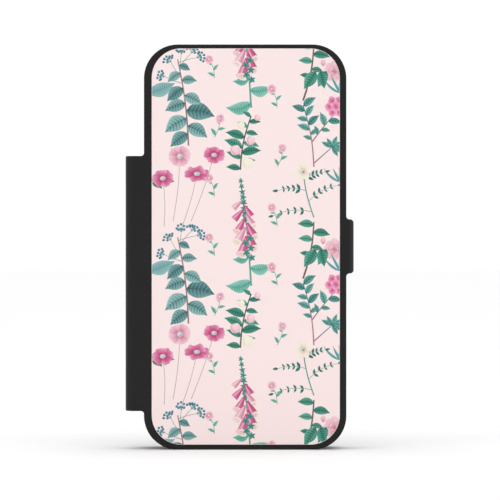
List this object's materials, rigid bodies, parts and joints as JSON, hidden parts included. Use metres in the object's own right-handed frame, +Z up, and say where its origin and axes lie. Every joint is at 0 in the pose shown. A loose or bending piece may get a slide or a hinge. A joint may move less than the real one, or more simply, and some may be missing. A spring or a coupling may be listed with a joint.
{
  "type": "phone case",
  "caption": "Folding wallet case for a phone: moulded tray between covered leaves, card pockets, soft spine and a magnetic strap, with a wild-flower panel on the front.",
  "frame": {"origin": "middle of the closed case's footprint, on the plane its bottom edge stands on", "axes": "+Z up the case, +X to the right as its printed front is faced, +Y from the printed front to the back"},
  "size_m": [0.0848, 0.0204, 0.1503],
  "materials": {
    "skin_leather": "fine-grained black synthetic leather, slight sheen",
    "strap_leather": "fine-grained black synthetic leather, slight sheen",
    "print_leather": "smooth coated sheet with a printed wild-flower pattern on pale pink",
    "board": "dense grey board",
    "lining_suede": "short-napped black microfibre",
    "strap_lining": "short-napped black microfibre",
    "pocket_leather": "thin smooth black synthetic leather",
    "seam_fabric": "woven black welt tape",
    "tray_plastic": "matt black flexible moulding",
    "glue_film": "clear adhesive film",
    "keeper_steel": "thin plain steel",
    "magnet_nickel": "nickel-plated discs",
    "button_plastic": "matt black flexible moulding"
  },
  "bodies": {
    "back_leaf": {"phone_tray": "tray_plastic", "tray_glue": "glue_film", "back_lining": "lining_suede", "back_board": "board", "back_skin": "skin_leather", "keeper_plate": "keeper_steel"},
    "spine": {"spine_skin": "skin_leather", "spine_lining": "lining_suede"},
    "front_leaf": {"front_skin": "skin_leather", "printed_panel": "print_leather", "front_board": "board", "front_lining": "lining_suede", "card_backing": "pocket_leather", "pocket_seams": "seam_fabric", "card_pocket_upper": "pocket_leather", "card_pocket_middle": "pocket_leather", "card_pocket_lower": "pocket_leather"},
    "strap_side": {"strap_side_skin": "strap_leather", "strap_side_lining": "strap_lining"},
    "strap_tip": {"strap_tip_skin": "strap_leather", "strap_tip_lining": "strap_lining", "strap_magnets": "magnet_nickel"},
    "volume_up": {"volume_up_button": "button_plastic"},
    "volume_down": {"volume_down_button": "button_plastic"},
    "power": {"power_button": "button_plastic"}
  },
  "joints": [
    {"name": "spine_back_fold", "type": "hinge", "parent": "back_leaf", "child": "spine", "pos_m": [-0.04147, 0.00656, 0.0616], "axis": [0, 0, -1], "range_deg": [0, 180], "deforming": ["strap_side_skin", "strap_side_lining", "strap_tip_skin", "strap_tip_lining", "strap_magnets"]},
    {"name": "spine_front_fold", "type": "hinge", "parent": "spine", "child": "front_leaf", "pos_m": [-0.04147, -0.00906, 0.0616], "axis": [0, 0, -1], "range_deg": [0, 180], "deforming": ["strap_side_skin", "strap_side_lining", "strap_tip_skin", "strap_tip_lining", "strap_magnets"]},
    {"name": "strap_front_fold", "type": "hinge", "parent": "front_leaf", "child": "strap_side", "pos_m": [0.04165, -0.00924, 0.0754], "axis": [0, 0, -1], "range_deg": [0, 120]},
    {"name": "strap_back_fold", "type": "hinge", "parent": "strap_side", "child": "strap_tip", "pos_m": [0.04165, 0.00944, 0.0754], "axis": [0, 0, -1], "range_deg": [0, 110]},
    {"name": "volume_up_press", "type": "slide", "parent": "back_leaf", "child": "volume_up", "axis": [1, 0, 0], "range_m": [0, 0.0004], "stiffness_N_per_m": 1500},
    {"name": "volume_down_press", "type": "slide", "parent": "back_leaf", "child": "volume_down", "axis": [1, 0, 0], "range_m": [0, 0.0004], "stiffness_N_per_m": 1500},
    {"name": "power_press", "type": "slide", "parent": "back_leaf", "child": "power", "axis": [-1, 0, 0], "range_m": [0, 0.0004], "stiffness_N_per_m": 1500}
  ]
}
